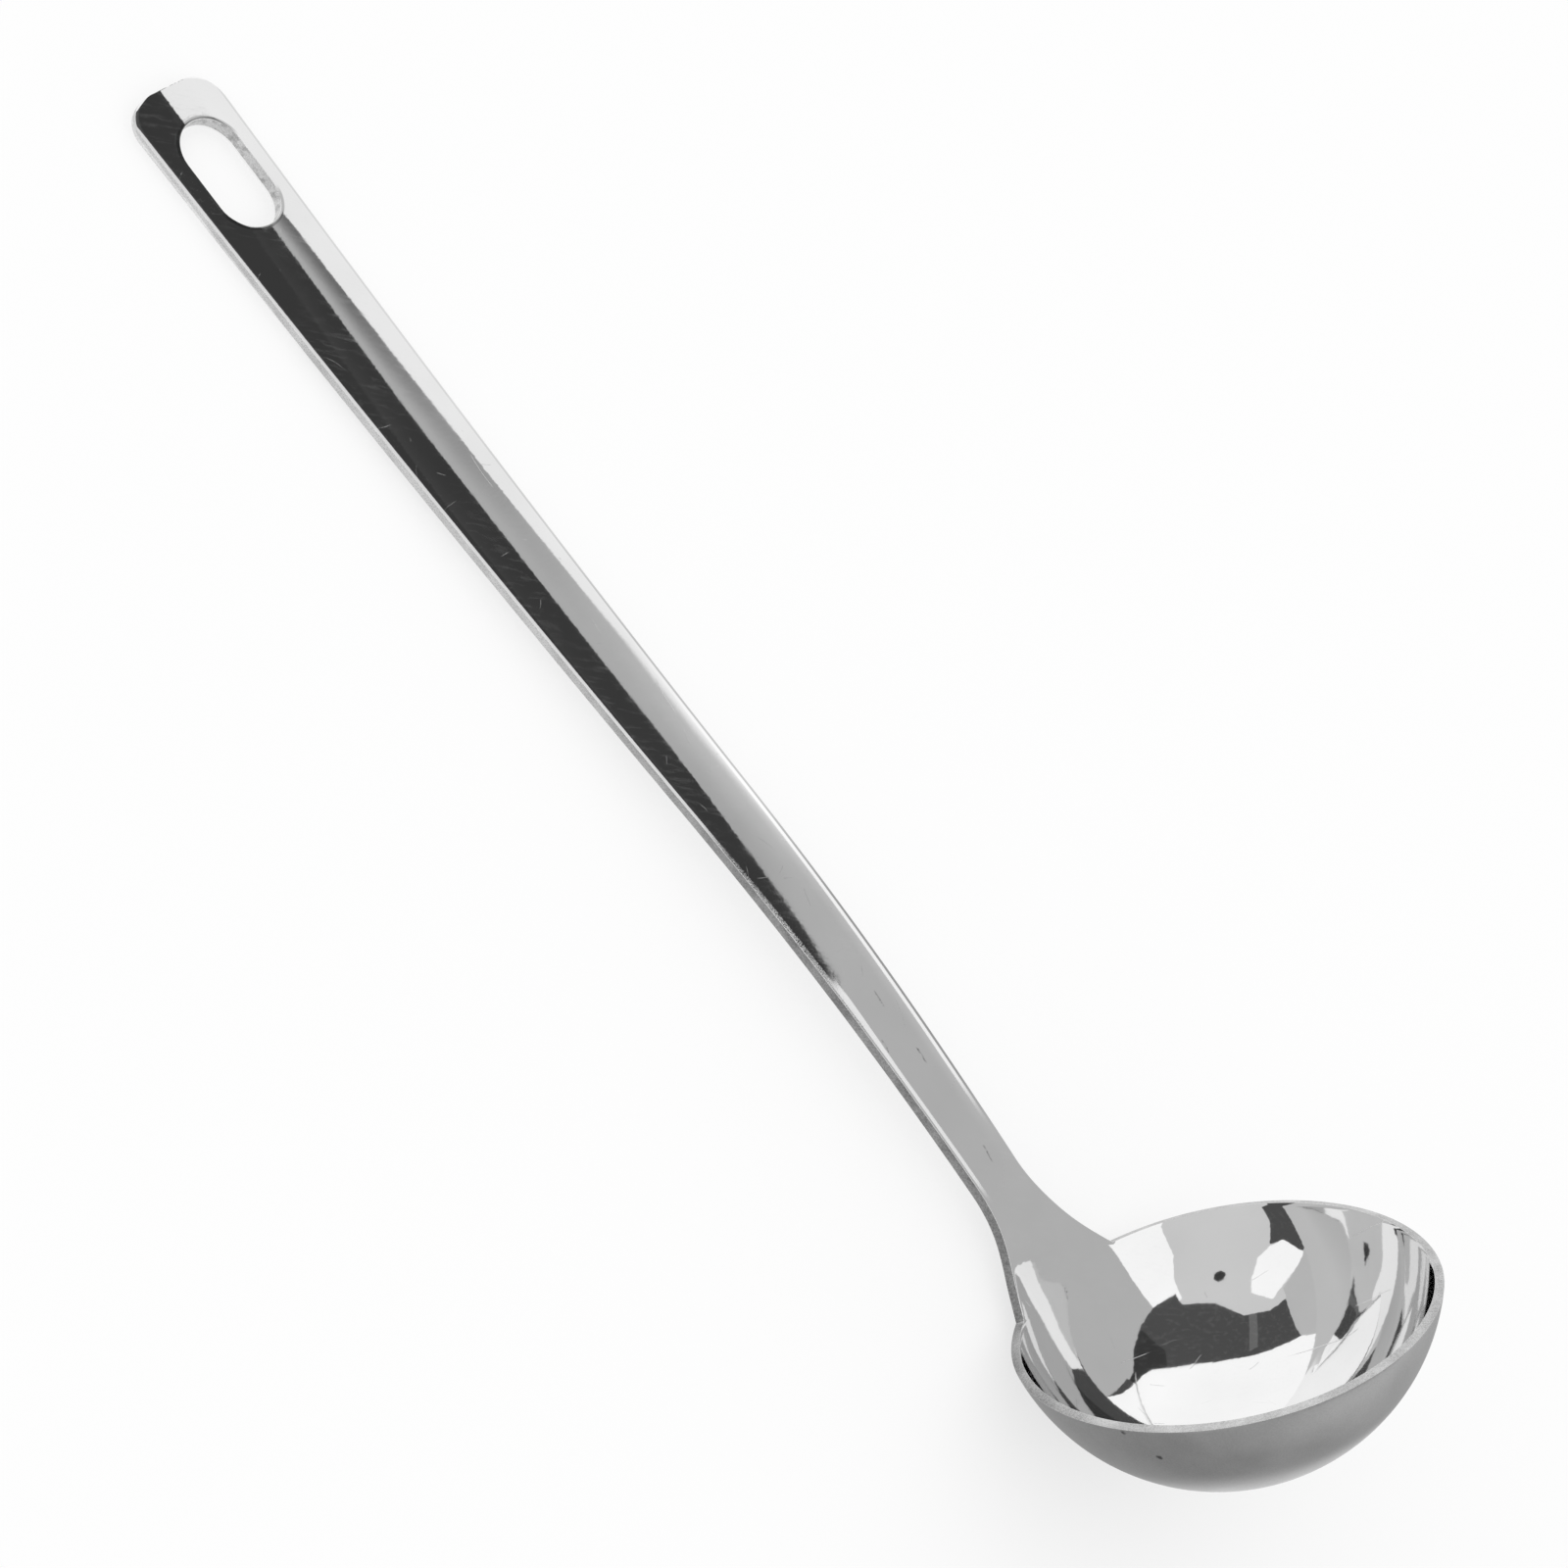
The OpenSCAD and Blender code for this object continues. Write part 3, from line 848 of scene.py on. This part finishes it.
def make_table(scene, tones):
    """A pale table that glows where it is seen or mirrored, and shows the ladle's shadow."""
    bm = bmesh.new()
    bmesh.ops.create_circle(bm, cap_ends=True, radius=TABLE_R, segments=TABLE_SIDES)
    ob = add_object(scene, "table_top", bm)
    mat, n, paint = new_material("white_table")
    n.put(paint, {
        "Base Color": (*tones.table_colour, 1), "Roughness": TABLE_ROUGHNESS, "Specular IOR Level": 0})
    path = n.node("LightPath").outputs
    seen = n.most(path["Is Glossy Ray"], path["Is Transmission Ray"], path["Is Camera Ray"])
    white = n.node("Emission", {"Strength": 1.0}).outputs[0]
    both = n.node("MixShader", {0: n.times(seen, tones.table_glow), 1: paint.outputs[0], 2: white}).outputs[0]
    n.put(n.tree.nodes["Material Output"], {"Surface": both})
    ob.data.materials.append(mat)


def on_screen(t, z):
    return SCREEN_AT + SCREEN_WAY * t + Vector((0, 0, z))


def over_line(n, place, line):
    """Height of a place on the screen over one of its slanting lines."""
    a, b = line
    slope = (b[1] - a[1]) / (b[0] - a[0])
    way = Vector((0, 0, 1)) - SCREEN_WAY * slope
    return n.math("SUBTRACT", n.dot(place, way), way.dot(on_screen(*a)))


def screen_tone(n, tones):
    """Dark above and white below a slanting grey band, which darkens towards the white."""
    place = n.place()
    far = n.math("SUBTRACT", n.dot(place, SCREEN_WAY), SCREEN_AT.dot(SCREEN_WAY))
    over_white = n.math("MINIMUM", over_line(n, place, WHITE_TOP), over_line(n, place, WHITE_START))
    over_grey = n.most(*(over_line(n, place, line) for line in (GREY_START, GREY_TOP, GREY_FAR)))
    left_of_end = over_line(n, place, DARK_END)
    over_corner = over_line(n, place, DARK_CORNER)
    right_of_grey = n.times(over_line(n, place, GREY_END), -0.5)

    depth = n.math("DIVIDE", over_white, n.math("SUBTRACT", over_white, over_grey))
    deepest = n.ranged(far, 0.42, 1.0, 0.6, 0.16, "LINEAR")
    grey = n.ranged(depth, 0.0, 0.9, deepest, n.ranged(far, 0.3, 0.6, 0.44, 0.48))
    grey = n.ranged(far, 0.2, 0.32, tones.grey, grey)

    soft = n.ranged(far, 0.4, 0.6, 0.04, 0.004)
    white = n.most(n.ranged(over_white, soft, n.times(soft, -1.0)), n.ranged(right_of_grey, -0.02, 0.02))
    tone = n.ranged(white, 0.0, 1.0, grey, n.ranged(far, 0.2, 0.34, tones.grey, 0.96))
    dark = n.times(n.ranged(over_grey, -0.003, 0.003), n.most(
        n.ranged(left_of_end, -0.04, 0.04), n.ranged(over_corner, -0.004, 0.004)))
    return n.ranged(dark, 0.0, 1.0, tone, n.ranged(over_grey, 0.0, 1.2, tones.black, tones.black * 1.4))


def shade_tone(n, tones):
    """The floor round the bowl, with a painted shadow darkest close to it and white beyond it, and one bright spot
    in front of it.
    """
    place = n.place()
    from_bowl = n.distance(place, SHADE_AT)
    shade = n.ranged(from_bowl, 0.0, 0.16, 0.36, 0.58)
    x, y = n.dot(place, (1, 0, 0)), n.dot(place, (0, 1, 0))
    beyond = n.times(n.ranged(from_bowl, 0.16, 0.6), n.ranged(y, 0.08, 0.0))
    under_handle = n.times(n.ranged(x, -0.14, -0.1), n.ranged(y, 0.025, -0.015))
    spot = n.ranged(n.distance(place, SPOT_AT), 0.055, 0.02)
    return n.ranged(n.most(beyond, under_handle, spot), 0.0, 1.0, shade, 1.0)


def card_material(tone, tones):
    """Plain light of one of the studio's tones, or of a tone that changes over the card."""
    mat = bpy.data.materials.new("card")
    mat.use_nodes = True
    mat.node_tree.nodes.clear()
    n = Nodes(mat.node_tree)
    glow = n.node("Emission", {"Strength": tone(n, tones) if callable(tone) else getattr(tones, tone)})
    n.node("OutputMaterial", {"Surface": glow.outputs[0]})
    return mat


def add_card(scene, name, corners, tone, tones):
    """A card that only reflections see."""
    bm = bmesh.new()
    bm.faces.new([bm.verts.new(p) for p in corners])
    ob = add_object(scene, name, bm)
    ob.data.materials.append(card_material(tone, tones))
    ob.visible_camera = False
    ob.visible_diffuse = False
    ob.visible_shadow = False


def make_cards(scene, tones):
    for i, (name, wall, tone, corners) in enumerate(CARDS):
        reach = REACH * (1 - CARD_STEP * i)
        add_card(scene, name, [BOWL_AT + WALLS[wall](u, v) * reach for u, v in corners], tone, tones)
    near, far = SCREEN_SPAN
    screen = ((near, 0), (near, SCREEN_TOP), (far, SCREEN_TOP), (far, 0))
    add_card(scene, "screen", [on_screen(t, z) for t, z in screen], screen_tone, tones)
    floor = [SHADE_AT + Vector((x, y, 0)) * SHADE_REACH for x, y in SHADE_CORNERS]
    add_card(scene, "floor_shade", floor, shade_tone, tones)


def make_surroundings(scene, tones):
    world = bpy.data.worlds.new("studio")
    scene.world = world
    world.use_nodes = True
    world.node_tree.nodes["Background"].inputs["Color"].default_value = (*tones.world_colour, 1)


class LADLE_PT_panel(bpy.types.Panel):
    """Lists the sizes, the finish and the studio's tones, with a button for each operator"""
    bl_label = "Ladle"
    bl_idname = "LADLE_PT_panel"
    bl_space_type = "VIEW_3D"
    bl_region_type = "UI"
    bl_category = "Ladle"

    def draw(self, context):
        scene = context.scene
        column = self.layout.column()
        for group in (scene.ladle_sizes, scene.ladle_finish):
            for name in type(group).__annotations__:
                column.prop(group, name)
        column.operator("ladle.ladle")
        column.separator()
        for name in LadleStudio.__annotations__:
            column.prop(scene.ladle_studio, name)
        column.operator("ladle.studio")


CLASSES = (LadleSizes, LadleFinish, LadleStudio, LADLE_OT_ladle, LADLE_OT_studio, LADLE_PT_panel)


def register():
    for cls in CLASSES:
        bpy.utils.register_class(cls)
    bpy.types.Scene.ladle_sizes = bpy.props.PointerProperty(type=LadleSizes)
    bpy.types.Scene.ladle_finish = bpy.props.PointerProperty(type=LadleFinish)
    bpy.types.Scene.ladle_studio = bpy.props.PointerProperty(type=LadleStudio)


def unregister():
    del bpy.types.Scene.ladle_studio
    del bpy.types.Scene.ladle_finish
    del bpy.types.Scene.ladle_sizes
    for cls in reversed(CLASSES):
        bpy.utils.unregister_class(cls)


def main():
    register()
    bpy.ops.ladle.ladle()
    bpy.ops.ladle.studio()


if __name__ == "__main__":
    main()
